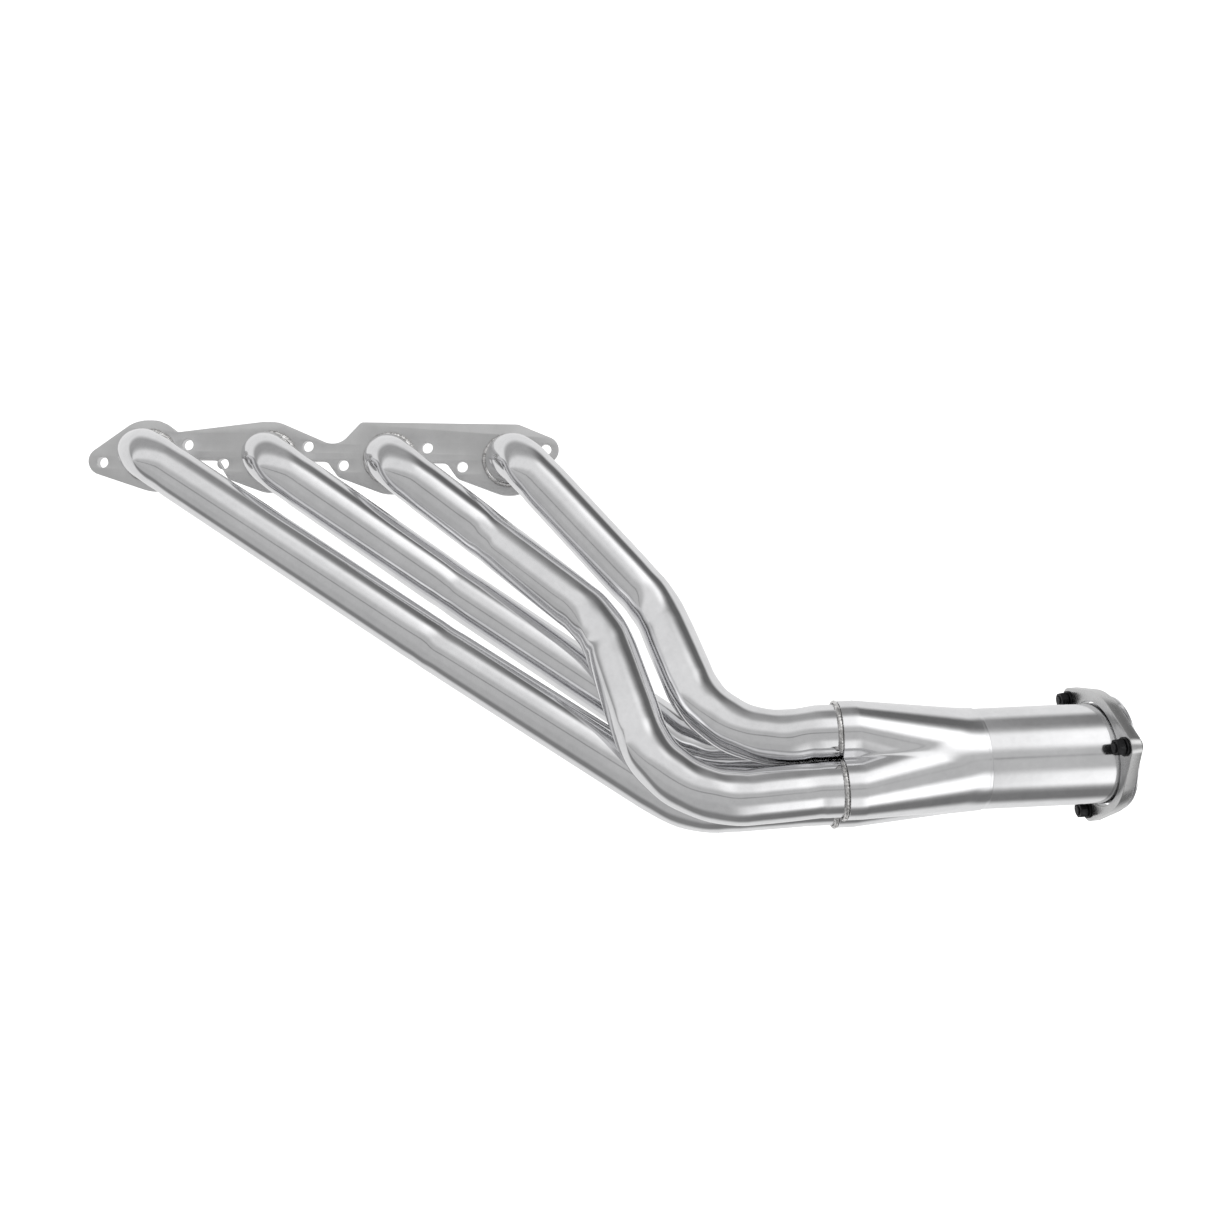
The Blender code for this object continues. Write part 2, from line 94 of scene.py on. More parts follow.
# ------------------------------------------------------------ node helpers
class Nodes:
    """Short names for building a node tree."""

    def __init__(self, tree):
        self.tree = tree

    def add(self, kind, **values):
        node = self.tree.nodes.new(kind)
        for name, value in values.items():
            setattr(node, name, value)
        return node

    def link(self, a, b):
        self.tree.links.new(a, b)

    def math(self, operation, a, b=None):
        node = self.add("ShaderNodeMath", operation=operation)
        for socket, value in zip(node.inputs, (a, b)):
            if value is None:
                continue
            if isinstance(value, (int, float)):
                socket.default_value = value
            else:
                self.link(value, socket)
        return node.outputs[0]

    def span(self, value, low, high, to_low, to_high, smooth=False):
        node = self.tree.nodes.new("ShaderNodeMapRange")
        node.interpolation_type = "SMOOTHSTEP" if smooth else "LINEAR"
        node.clamp = True
        self.link(value, node.inputs["Value"])
        for name, number in (("From Min", low), ("From Max", high), ("To Min", to_low), ("To Max", to_high)):
            node.inputs[name].default_value = number
        return node.outputs["Result"]

    def noise(self, coords, scale, detail=3.0, rough=0.55, stretch=(1, 1, 1)):
        mapping = self.tree.nodes.new("ShaderNodeMapping")
        mapping.inputs["Scale"].default_value = stretch
        self.link(coords, mapping.inputs["Vector"])
        node = self.tree.nodes.new("ShaderNodeTexNoise")
        node.inputs["Scale"].default_value = scale
        node.inputs["Detail"].default_value = detail
        node.inputs["Roughness"].default_value = rough
        self.link(mapping.outputs[0], node.inputs["Vector"])
        return node.outputs["Fac"]

    def tint(self, factor, dark, light):
        node = self.tree.nodes.new("ShaderNodeMix")
        node.data_type = "RGBA"
        self.link(factor, node.inputs["Factor"])
        node.inputs["A"].default_value = (*dark, 1)
        node.inputs["B"].default_value = (*light, 1)
        return node.outputs["Result"]

    def bump(self, height, strength, distance, normal=None):
        node = self.tree.nodes.new("ShaderNodeBump")
        node.inputs["Strength"].default_value = strength
        node.inputs["Distance"].default_value = distance
        self.link(height, node.inputs["Height"])
        if normal is not None:
            self.link(normal, node.inputs["Normal"])
        return node.outputs["Normal"]


def new_material(name, metallic):
    """A metal, its node tree, its shader and the place on the piece."""
    made = bpy.data.materials.new(name)
    made.use_nodes = True
    nodes = Nodes(made.node_tree)
    shader = made.node_tree.nodes["Principled BSDF"]
    shader.inputs["Metallic"].default_value = metallic
    here = nodes.add("ShaderNodeTexCoord").outputs["Object"]
    return made, nodes, shader, here


# Texture scales, in cycles per metre. Drawing lines are much longer than they are wide.
HAZE_SCALE, PATCH_SCALE, WAVE_SCALE = 22.0, 140.0, 16.0
LINE_SCALE, LINE_STRETCH = 900.0, (1.0, 0.018, 1.0)
MOTTLE_SCALE = 30.0
PIT_SCALE, GRIT_SCALE, OXIDE_SCALE = 260.0, 1800.0, 350.0


def polished(name, dark, light, rough_low, rough_high, wave, seed):
    """Polished stainless: drawing lines along the piece, soft haze, faint waves and fine scratches."""
    made, n, shader, here = new_material(name, 1.0)
    uv = n.add("ShaderNodeUVMap", uv_map="metres").outputs["UV"]
    shift = n.add("ShaderNodeVectorMath", operation="ADD")
    n.link(here, shift.inputs[0])
    shift.inputs[1].default_value = (seed * 1.7, seed * 0.9, seed * 2.3)
    place = shift.outputs[0]
    haze = n.noise(place, HAZE_SCALE, 4.0)
    lines = n.noise(uv, LINE_SCALE, 3.0, 0.6, LINE_STRETCH)
    patch = n.noise(place, PATCH_SCALE, 5.0, 0.7)
    mix = n.math("ADD", n.math("MULTIPLY", haze, 0.6), n.math("MULTIPLY", patch, 0.4))
    n.link(n.tint(n.span(mix, 0.3, 0.7, 0, 1), dark, light), shader.inputs["Base Color"])
    rough = n.math("ADD", n.span(mix, 0.35, 0.7, rough_low, rough_high), n.span(lines, 0.45, 0.75, 0.0, 0.05))
    n.link(rough, shader.inputs["Roughness"])
    soft = n.noise(place, WAVE_SCALE, 2.0)
    normal = n.bump(soft, wave, 0.002)
    n.link(n.bump(lines, 0.05, 0.00008, normal), shader.inputs["Normal"])
    return made


def satin(name, dark, light, rough_low, rough_high, grain, stretch):
    """Satin plate: even grain with faint mottling."""
    made, n, shader, here = new_material(name, 1.0)
    mottle = n.noise(here, MOTTLE_SCALE, 6.0, 0.6)
    fine = n.noise(here, grain, 4.0, 0.65, stretch)
    mix = n.math("ADD", n.math("MULTIPLY", mottle, 0.7), n.math("MULTIPLY", fine, 0.3))
    n.link(n.tint(n.span(mix, 0.3, 0.7, 0, 1), dark, light), shader.inputs["Base Color"])
    n.link(n.span(mix, 0.3, 0.7, rough_low, rough_high), shader.inputs["Roughness"])
    n.link(n.bump(fine, 0.25, 0.0001), shader.inputs["Normal"])
    return made


def bead_metal(name, dark, light):
    """As-welded metal: pitted and patchy between bright ripples."""
    made, n, shader, here = new_material(name, 1.0)
    patch = n.noise(here, PIT_SCALE, 6.0, 0.7)
    fine = n.noise(here, GRIT_SCALE, 3.0, 0.7)
    mix = n.math("ADD", n.math("MULTIPLY", patch, 0.75), n.math("MULTIPLY", fine, 0.25))
    n.link(n.tint(n.span(mix, 0.35, 0.62, 0, 1, True), dark, light), shader.inputs["Base Color"])
    n.link(n.span(mix, 0.3, 0.7, 0.42, 0.16), shader.inputs["Roughness"])
    n.link(n.bump(mix, 0.5, 0.0004), shader.inputs["Normal"])
    return made


def black_oxide(name):
    """Matte black fasteners, a little patchy."""
    made, n, shader, here = new_material(name, 0.55)
    patch = n.noise(here, OXIDE_SCALE, 6.0, 0.65)
    n.link(n.tint(n.span(patch, 0.35, 0.7, 0, 1), (0.006, 0.006, 0.007), (0.022, 0.022, 0.024)),
           shader.inputs["Base Color"])
    n.link(n.span(patch, 0.3, 0.7, 0.5, 0.34), shader.inputs["Roughness"])
    n.link(n.bump(patch, 0.3, 0.0002), shader.inputs["Normal"])
    return made


TUBE_MATERIALS = {
    tube: polished(f"polished_tube_{tube}", (0.70, 0.70, 0.71), (0.84, 0.84, 0.85), 0.05, 0.11, 0.05, tube)
    for tube in (1, 2, 3, 4)
}
COLLECTOR_METAL = polished("polished_collector", (0.72, 0.72, 0.73), (0.86, 0.86, 0.87), 0.08, 0.14, 0.05, 5)
OUTLET_METAL = polished("polished_outlet", (0.74, 0.74, 0.75), (0.88, 0.88, 0.89), 0.09, 0.15, 0.015, 6)
PLATE_METAL = satin("satin_plate", (0.62, 0.62, 0.62), (0.76, 0.76, 0.76), 0.34, 0.50, 1500.0, (1, 1, 1))
FLANGE_METAL = satin("machined_flange", (0.50, 0.50, 0.50), (0.68, 0.68, 0.68), 0.20, 0.34,
                     900.0, (6, 0.6, 0.6))
WELD_METAL = bead_metal("weld_bead", (0.34, 0.335, 0.33), (0.86, 0.85, 0.84))
PLUG_METAL = bead_metal("seam_bead", (0.45, 0.45, 0.44), (0.80, 0.79, 0.78))
BLACK_METAL = black_oxide("black_oxide")


# ------------------------------------------------------------ shapes
def piece(name, mesh, material, body, node, angle=40):
    """One finished piece that rides on a body and stands for one CAD node."""
    mesh.materials.clear()
    mesh.materials.append(material)
    mesh.shade_smooth()
    mesh.set_sharp_from_angle(angle=math.radians(angle))
    made = bpy.data.objects.new(name, mesh)
    bpy.context.scene.collection.objects.link(made)
    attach(made, body)
    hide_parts(node)


def mesh_from(name, points, faces, place=None):
    """A mesh with its faces turned outwards, moved to its place."""
    mesh = bpy.data.meshes.new(name)
    points = np.asarray(points, float)
    if place is not None:
        full = np.array(place)
        points = points @ full[:3, :3].T + full[:3, 3]
    mesh.from_pydata(points.tolist(), [], faces)
    work = bmesh.new()
    work.from_mesh(mesh)
    bmesh.ops.recalc_face_normals(work, faces=work.faces)
    work.to_mesh(mesh)
    work.free()
    return mesh


def grid_faces(rows, columns, close_rows=False):
    """Quads of a grid whose columns wrap round."""
    faces = []
    for i in range(rows if close_rows else rows - 1):
        k = (i + 1) % rows
        for j in range(columns):
            m = (j + 1) % columns
            faces.append((i * columns + j, i * columns + m, k * columns + m, k * columns + j))
    return faces


def map_uv(mesh, rows, columns, across, along):
    """UVs in metres: round the piece, and along it by row."""
    layer = mesh.uv_layers.new(name="metres")
    count = len(mesh.loops)
    index = np.empty(count, int)
    mesh.loops.foreach_get("vertex_index", index)
    row, column = index // columns, index % columns
    uv = np.stack([across * column / columns, np.asarray(along)[row]], 1)
    layer.data.foreach_set("uv", uv.astype(np.float32).ravel())


def rounded(corners, closed, step=math.radians(4)):
    """Points along straight legs whose corners, (position, radius), are rounded by arcs."""
    points = []
    count = len(corners)
    for index, (corner, radius) in enumerate(corners):
        corner = Vector(corner)
        if not closed and index in (0, count - 1):
            points.append(corner)
            continue
        before = (Vector(corners[index - 1][0]) - corner).normalized()
        after = (Vector(corners[(index + 1) % count][0]) - corner).normalized()
        turn = math.pi - before.angle(after)
        if turn < 1e-4 or radius <= 0:
            points.append(corner)
            continue
        reach = radius * math.tan(turn / 2)
        centre = corner + (before + after).normalized() * (radius / math.cos(turn / 2))
        start = corner + before * reach - centre
        end = corner + after * reach - centre
        steps = max(2, math.ceil(turn / step))
        for k in range(steps + 1):
            part = k / steps
            points.append(centre + (start * math.sin((1 - part) * turn) + end * math.sin(part * turn))
                          / math.sin(turn))
    return points


def ring(x, y, radius, sides=72):
    """Points of a circle."""
    return [(x + radius * math.cos(TAU * i / sides), y + radius * math.sin(TAU * i / sides))
            for i in range(sides)]


OUTLINE_INSET = 0.00002      # keeps a plate's rounded edge inside its solid
MERGE_DIST = 0.000002


def plate(name, outlines, thickness, edge, place):
    """A flat plate with holes and softly broken edges."""
    curve = bpy.data.curves.new(name, "CURVE")
    curve.dimensions = "2D"
    curve.fill_mode = "BOTH"
    curve.extrude = thickness / 2 - edge
    curve.bevel_depth = edge
    curve.bevel_resolution = 2
    curve.offset = -edge - OUTLINE_INSET
    for outline in outlines:
        spline = curve.splines.new("POLY")
        spline.points.add(len(outline) - 1)
        for point, at in zip(spline.points, outline):
            point.co = (at[0], at[1], 0, 1)
        spline.use_cyclic_u = True
    helper = bpy.data.objects.new(name, curve)
    bpy.context.scene.collection.objects.link(helper)
    bpy.context.view_layer.update()
    mesh = bpy.data.meshes.new_from_object(helper.evaluated_get(bpy.context.evaluated_depsgraph_get()))
    bpy.data.objects.remove(helper, do_unlink=True)
    mesh.transform(place)
    work = bmesh.new()
    work.from_mesh(mesh)
    bmesh.ops.remove_doubles(work, verts=work.verts, dist=MERGE_DIST)
    bmesh.ops.recalc_face_normals(work, faces=work.faces)
    work.to_mesh(mesh)
    work.free()
    return mesh


def lathe(name, profile, sides, place):
    """A closed (radius, height) profile turned round local Z."""
    rows = len(profile)
    turn = np.arange(sides) * TAU / sides
    points = [(r * math.cos(a), r * math.sin(a), z) for r, z in profile for a in turn]
    mesh = mesh_from(name, points, grid_faces(rows, sides, True), place)
    along = np.cumsum([0] + [math.dist(profile[i], profile[i + 1]) for i in range(rows - 1)])
    map_uv(mesh, rows, sides, TAU * max(r for r, z in profile), along)
    return mesh


def soft_corners(profile, radius, steps=4):
    """Rounds a closed profile's corners."""
    corners = [(Vector((r, z, 0)), radius) for r, z in profile]
    return [(p.x, p.y) for p in rounded(corners, True, HALF / steps)]


# ------------------------------------------------------------ frames
def station(port):
    """Distance of a cylinder's centre from the middle of the plate."""
    return (port - 2.5) * PORT_PITCH


def port_centre(port):
    return station(port) + PORT_SHIFT_X, PORT_SHIFT_Z


AXIS = Vector((
    math.cos(COLLECTOR_PITCH) * math.cos(COLLECTOR_YAW),
    math.cos(COLLECTOR_PITCH) * math.sin(COLLECTOR_YAW),
    math.sin(COLLECTOR_PITCH),
))
FRONT = AXIS.cross(Vector((0, 0, 1))).normalized()
UP = FRONT.cross(AXIS)
COLLECTOR = Matrix.Translation(COLLECTOR_AT) @ Matrix((UP, FRONT, AXIS)).transposed().to_4x4()
FLANGE = (
    COLLECTOR @ Matrix.Translation((FLANGE_LIFT, 0, FLANGE_AT))
    @ Matrix.Rotation(FLANGE_TILT, 4, "X") @ Matrix.Rotation(FLANGE_LEAN, 4, "Y")
)
PLATE = Matrix.Translation((0, -PLATE_T / 2, 0)) @ Matrix.Rotation(HALF, 4, "X")


def seat_angle(tube):
    """Direction of a tube's seat round the collector's axis."""
    return HALF - CLUSTER_TURN - SEATS[tube] * HALF


# ------------------------------------------------------------ head flange
BOTTOM = PORT_SHIFT_Z - PORT_WALL_R
TOP = PORT_SHIFT_Z + PORT_WALL_R
HIGH = TOP + 0.0010
LEFT_BOLT, RIGHT_BOLT = station(1) - BOLT_DX, station(4) + BOLT_DX
NOTCH_Z = -0.0059
NOTCH_SIDE = {2: 0.046, 3: 0.0565, 4: 0.0565}   # notch's right side, left of its port centre
NOTCH_FOOT, NOTCH_SLOPE = 0.0095, 0.36          # the plate's lower edge climbs towards each notch


def head_outline():
    """The plate's outline, round its corners from the left end."""
    x1, x2, x4 = port_centre(1)[0], port_centre(2)[0], port_centre(4)[0]
    corners = [
        ((LEFT_BOLT - 0.0309, -BOLT_DZ - 0.0039), 0.0142),
        ((x1 - 0.0140, TOP), PORT_WALL_R),
        ((x1 + 0.0118, TOP), 0.0250),
        ((x1 + 0.0275, TOP - 0.0119), 0.0060),
        ((x2 - 0.0086, TOP), 0.0400),
        ((x2 + 0.0085, TOP), 0.0300),
        ((0.0119, 0.0090), 0.0200),
        ((0.0363, HIGH), 0.0060),
        ((x4 + 0.0096, HIGH), 0.0120),
        ((RIGHT_BOLT + 0.0215, BOLT_DZ + 0.0059), 0.0135),
        ((x4 + 0.0180, BOTTOM), PORT_WALL_R),
    ]
    for port in (4, 3, 2):
        x, before = port_centre(port)[0], port_centre(port - 1)[0]
        side = x - NOTCH_SIDE[port]
        corners += [
            ((x - 0.0065, BOTTOM), PORT_WALL_R),
            ((side + 0.0030, BOTTOM + (NOTCH_SIDE[port] - NOTCH_FOOT) * NOTCH_SLOPE), 0.0090),
            ((side - 0.0085, NOTCH_Z), 0.0070),
            ((before + PORT_WALL_R, NOTCH_Z), 0.0028),
            ((before + PORT_WALL_R, BOTTOM), 0.0300),
        ]
    corners.append(((x1 - 0.0015, BOTTOM), PORT_WALL_R))
    return [(p.x, p.y) for p in rounded([(Vector((*at, 0)), r) for at, r in corners], True)]


holes = [ring(station(p) + s * BOLT_DX, s * BOLT_DZ, BOLT_HOLE_R) for p in (1, 2, 3, 4) for s in (-1, 1)]
holes += [ring(*port_centre(p), TUBE_OD / 2 + GAP, 96) for p in (1, 2, 3, 4)]
piece("plate_fine", plate("plate_fine", [head_outline()] + holes, PLATE_T, 0.0005, PLATE),
      PLATE_METAL, "manifold", "head_flange")

# ------------------------------------------------------------ primary tubes
TUBE_SIDES = 64
SECTION_STEP = 0.006
DENT, BEND_CLEAR = 0.00030, 0.030
FULL_DENT_TURN = 0.02        # radians between two sections, at which a wrinkle is as deep as it gets
COLLECTOR_LEAD = 0.022       # a tube's last corner is this far in front of the collector
# The round tubes are this much slimmer, so that they stay inside the faceted solids.
FACET_SHARE = 0.00012


def sections(points):
    """Even sections along a centre line, each with a frame carried along without twist."""
    points = [np.array(p) for p in points]
    fine = [points[0]]
    for a, b in zip(points, points[1:]):
        pieces = max(1, math.ceil(np.linalg.norm(b - a) / SECTION_STEP))
        fine += [a + (b - a) * k / pieces for k in range(1, pieces + 1)]
    fine = np.array(fine)
    tangent = np.gradient(fine, axis=0)
    tangent[0], tangent[-1] = fine[1] - fine[0], fine[-1] - fine[-2]
    tangent /= np.linalg.norm(tangent, axis=1)[:, None]
    side = np.cross(tangent[0], (0, 0, 1))
    side /= np.linalg.norm(side)
    sides = []
    for t in tangent:
        side = side - t * (side @ t)
        side /= np.linalg.norm(side)
        sides.append(side)
    sides = np.array(sides)
    length = np.concatenate([[0], np.cumsum(np.linalg.norm(np.diff(fine, axis=0), axis=1))])
    return fine, tangent, sides, np.cross(tangent, sides), length


def tube_mesh(name, route):
    """An open bent tube with turned ends and a wall."""
    centre, tangent, side, other, length = sections(rounded(route, False))
    turn = np.arange(TUBE_SIDES) * TAU / TUBE_SIDES
    turning = np.zeros(len(centre))
    turning[1:-1] = np.arccos(np.clip((tangent[1:-1] * tangent[2:]).sum(1), -1, 1))
    dented = np.minimum(np.convolve(turning, np.ones(5) / 5, "same") / FULL_DENT_TURN, 1.0)
    around = side[:, None] * np.cos(turn)[None, :, None] + other[:, None] * np.sin(turn)[None, :, None]
    edge = 0.0004
    outer, inner = TUBE_OD / 2 - FACET_SHARE, TUBE_OD / 2 - TUBE_WALL
    rows = [(k, outer, 0) for k in range(1, len(centre) - 1)]
    rows = [(0, outer - edge, 0), (0, outer, edge)] + rows
    last = len(centre) - 1
    rows += [(last, outer, -edge), (last, outer - edge, 0), (last, inner + edge, 0), (last, inner, -edge)]
    rows += [(k, inner, 0) for k in range(last - 1, 0, -1)]
    rows += [(0, inner, edge), (0, inner + edge, 0)]
    last_dent = length[-1] - BEND_CLEAR

    def dent(k):
        """Shallow wrinkles left by the bender, inwards only, and none near either end."""
        if not BEND_CLEAR < length[k] < last_dent:
            return np.zeros(TUBE_SIDES)
        wave = np.sin(2 * turn + length[k] * 130) + np.sin(3 * turn - length[k] * 210 + 1.7)
        return -DENT * dented[k] * (1 + wave / 2)

    points = np.concatenate([
        centre[k] + tangent[k] * shift + around[k] * (radius + (radius == outer) * dent(k))[:, None]
        for k, radius, shift in rows
    ])
    mesh = mesh_from(name, points, grid_faces(len(rows), TUBE_SIDES, True))
    map_uv(mesh, len(rows), TUBE_SIDES, TAU * outer, [length[k] + shift for k, _, shift in rows])
    return mesh


def ripple(angle, count, seed, sharp=0.6):
    """Height of overlapping weld puddles round a bead, from 0 to 1."""
    wobble = 0.35 * math.sin(3 * angle + seed) + 0.25 * math.sin(7 * angle + 2.1 * seed)
    phase = (angle * count / TAU + wobble) % 1.0
    return (1 - phase) ** sharp


def port_bead(name, seed, place):
    """Fillet weld round a port, with puddle ripples and an uneven toe."""
    sides, steps = 360, 9
    inner = TUBE_OD / 2 + GAP
    points = []
    for i in range(sides):
        angle = TAU * i / sides
        size = WELD_LEG * (0.86 + 0.06 * math.sin(5 * angle + seed) + 0.05 * math.sin(13 * angle + 3 * seed))
        lift = 0.80 + 0.16 * ripple(angle, 46, seed)
        rim = [(inner, 0.0), (inner + size, 0.0)]
        for k in range(1, steps):
            bend = HALF * k / steps
            rim.append((inner + size * lift * math.cos(bend) ** 0.8, size * lift * math.sin(bend) ** 0.8))
        rim.append((inner, size))
        points.append([(r * math.cos(angle), r * math.sin(angle), z) for r, z in rim])
    rows = len(points[0])
    flat = [points[i][k] for k in range(rows) for i in range(sides)]
    mesh = mesh_from(name, flat, grid_faces(rows, sides, True), place)
    map_uv(mesh, rows, sides, TAU * inner, np.linspace(0, WELD_LEG * 2, rows))
    return mesh


for tube in (1, 2, 3, 4):
    px, pz = port_centre(tube)
    angle = seat_angle(tube)
    across = Vector((math.cos(angle) * CLUSTER_R, math.sin(angle) * CLUSTER_R, 0))
    lead, *middle, last = ROUTES[tube]
    first = (px + lead[0], lead[1], pz + lead[2])
    route = [
        ((px, -TUBE_RECESS, pz), 0),
        ((px, -PLATE_T - FIRST_CORNER, pz), FIRST_BEND_R),
        (first, FIRST_BEND_R),
        *((corner, ROUTE_BEND_R) for corner in middle),
        (last, COLLECTOR_BEND_R),
        (COLLECTOR @ (across + Vector((0, 0, -COLLECTOR_LEAD))), COLLECTOR_BEND_R),
        (COLLECTOR @ (across + Vector((0, 0, SOCKET))), 0),
    ]
    piece(f"tube_{tube}_fine", tube_mesh(f"tube_{tube}_fine", route), TUBE_MATERIALS[tube],
          "manifold", f"primary_tube_{tube}")
    place = Matrix.Translation((px, -PLATE_T - GAP, pz)) @ Matrix.Rotation(HALF, 4, "X")
    piece(f"port_bead_{tube}", port_bead(f"port_bead_{tube}", 1.3 * tube, place), WELD_METAL,
          "manifold", f"port_weld_{tube}", 60)

# ------------------------------------------------------------ collector
SOCKET_R = TUBE_OD / 2 + SOCKET_GAP


def lobed(angle, centre, radius, blend):
    """Distance from the axis to four round lobes, with the valley between two lobes filled by blend."""
    off = (angle - seat_angle(3) + math.pi / 4) % HALF - math.pi / 4
    inside = radius ** 2 - (centre * math.sin(off)) ** 2
    out = centre * math.cos(off) + math.sqrt(max(inside, 0.0))
    if blend <= 0:
        return out
    # The neighbouring lobe seen from the same direction, joined smoothly at the valley.
    near = HALF - abs(off)
    inside = radius ** 2 - (centre * math.sin(near)) ** 2
    if inside <= 0:
        return out
    other = centre * math.cos(near) + math.sqrt(inside)
    close = max(blend - abs(out - other), 0.0) / blend
    return max(out, other) + close * close * blend * 0.25


TURNED_SIDES = 256           # sides of the collector and of the turned pieces that meet it


def collector_mesh(name):
    """Four sockets that merge into one round outlet."""
    sides = TURNED_SIDES
    outer_r, outlet_r = SOCKET_R + COLLECTOR_WALL, OUTLET_OD / 2
    length = COLLECTOR_L - SEAM_W / 2 - GAP
    level = SOCKET + 0.004
    heights = [0.0, 0.0004, 0.004, 0.009, level] + [
        level + (length - level) * k / 44 for k in range(1, 45)
    ]
    rows = [(h, 0.0) for h in heights] + [(h, COLLECTOR_WALL) for h in heights[::-1]]
    rows[0] = (0.0, 0.0004)
    points = []
    for height, wall in rows:
        part = min(max((height - level) / (length - level), 0.0), 1.0)
        centre = CLUSTER_R * (1 - part)
        radius = outer_r + (outlet_r - outer_r) * part - wall
        blend = 0.0035 if wall < 0.001 else 0.0
        for i in range(sides):
            angle = seat_angle(3) + TAU * i / sides
            out = lobed(angle, centre, radius, blend)
            points.append((out * math.cos(angle), out * math.sin(angle), height))
    mesh = mesh_from(name, points, grid_faces(len(rows), sides, True), COLLECTOR)
    map_uv(mesh, len(rows), sides, TAU * outlet_r, [h + w * 3 for h, w in rows])
    return mesh


piece("collector_fine", collector_mesh("collector_fine"), COLLECTOR_METAL, "manifold", "collector_body")


BEAD_FLAT = 0.75             # a bead's height as a share of its width


def rod_bead(name, tube, seed):
    """Weld bead round the outside of one tube where it enters the collector."""
    angle, bead, reach = seat_angle(tube), 0.0020, math.radians(100)
    middle = Vector((math.cos(angle) * CLUSTER_R, math.sin(angle) * CLUSTER_R, -GAP - bead))
    steps, sides = 150, 14
    points = []
    for i in range(steps + 1):
        at = angle + reach * (2 * i / steps - 1)
        end = min(i, steps - i) / 5
        size = bead * (1.0 if end >= 1 else math.sqrt(max(1 - (1 - end) ** 2, 0.04)))
        swell = 0.80 + 0.18 * ripple(at, 40, seed) + 0.02 * math.sin(9 * at + seed)
        for k in range(sides):
            turn = TAU * k / sides
            out = TUBE_OD / 2 + GAP + (bead + size * swell * math.cos(turn)) * BEAD_FLAT
            points.append((
                middle.x + out * math.cos(at),
                middle.y + out * math.sin(at),
                middle.z + size * swell * math.sin(turn),
            ))
    faces = grid_faces(steps + 1, sides)
    faces += [tuple(range(sides)), tuple(steps * sides + k for k in range(sides))[::-1]]
    mesh = mesh_from(name, points, faces, COLLECTOR)
    map_uv(mesh, steps + 1, sides, TAU * bead, np.linspace(0, 0.09, steps + 1))
    return mesh


for tube in (1, 2, 3, 4):
    piece(f"collector_bead_{tube}", rod_bead(f"collector_bead_{tube}", tube, 0.7 * tube), WELD_METAL,
          "manifold", f"collector_weld_{tube}", 60)

PLUG_R = CLUSTER_R - TUBE_OD / 2 - 0.0007
spike = [
    (0.0002, -0.0020), (PLUG_R - 0.0006, -0.0020), (PLUG_R, -0.0012), (PLUG_R - 0.0002, 0.0),
    (0.0010, 0.0215), (0.0002, 0.0220),
]
piece("plug_fine", lathe("plug_fine", soft_corners(spike, 0.0003), 48, COLLECTOR), PLUG_METAL,
      "manifold", "collector_centre_plug")

out_r, in_r = OUTLET_OD / 2, OUTLET_OD / 2 - COLLECTOR_WALL
seam_low, seam_high = COLLECTOR_L - SEAM_W / 2 - GAP, COLLECTOR_L + SEAM_W / 2 + GAP
seam = [
    (in_r, seam_low),
    (in_r, seam_high),
    (out_r, seam_high),
    (out_r + 0.00006, COLLECTOR_L),
    (out_r, seam_low),
]
piece("seam_fine", lathe("seam_fine", seam, TURNED_SIDES, COLLECTOR), OUTLET_METAL,
      "manifold", "collector_seam_weld")

start = COLLECTOR_L + SEAM_W / 2 + GAP
outlet = [
    (in_r, start),
    (out_r, start),
    (out_r, OUTLET_END - LIP_L),
    (out_r + (LIP_R - out_r) * 0.30, OUTLET_END - LIP_L * 0.55),
    (LIP_R, OUTLET_END - COLLECTOR_WALL),
    (LIP_R, OUTLET_END),
    (LIP_R - 0.0022, OUTLET_END),
    (in_r + (LIP_R - out_r) * 0.25, OUTLET_END - LIP_L * 0.38),
    (in_r, OUTLET_END - LIP_L * 0.90),
]
piece("outlet_fine", lathe("outlet_fine", soft_corners(outlet, 0.0004), TURNED_SIDES, COLLECTOR),
      OUTLET_METAL, "manifold", "collector_outlet_tube")


# ------------------------------------------------------------ loose outlet flange and its fasteners
def lobe_angle(index):
    """Direction of a lobe round the flange."""
    return HALF - LOBE_TURN - index * TAU / 3


def flange_outline():
    """Three round lobes joined by the rim, with straight flanks between them."""
    points = []
    lean = math.acos((FLANGE_RIM_R - LOBE_R) / LOBE_AT)
    for index in range(3):
        middle = lobe_angle(-index)
        for k in range(25):
            at = middle + lean * (k / 12 - 1)
            points.append((LOBE_AT * math.cos(middle) + LOBE_R * math.cos(at),
                           LOBE_AT * math.sin(middle) + LOBE_R * math.sin(at)))
        span = TAU / 3 - 2 * lean
        for k in range(25):
            at = middle + lean + span * k / 24
            points.append((FLANGE_RIM_R * math.cos(at), FLANGE_RIM_R * math.sin(at)))
    return points


spots = [(LOBE_AT * math.cos(lobe_angle(i)), LOBE_AT * math.sin(lobe_angle(i))) for i in range(3)]
outlines = [flange_outline(), ring(-FLANGE_LIFT, 0, FLANGE_BORE_R, 192)]
outlines += [ring(x, y, FLANGE_HOLE_R) for x, y in spots]
piece("loose_flange_fine", plate("loose_flange_fine", outlines, FLANGE_T, 0.0006, FLANGE), FLANGE_METAL,
      "outlet_flange", "collector_flange")


THREAD_PITCH, THREAD_DEPTH = 0.00125, 0.0006
HEX_CHAMFER = 0.0009


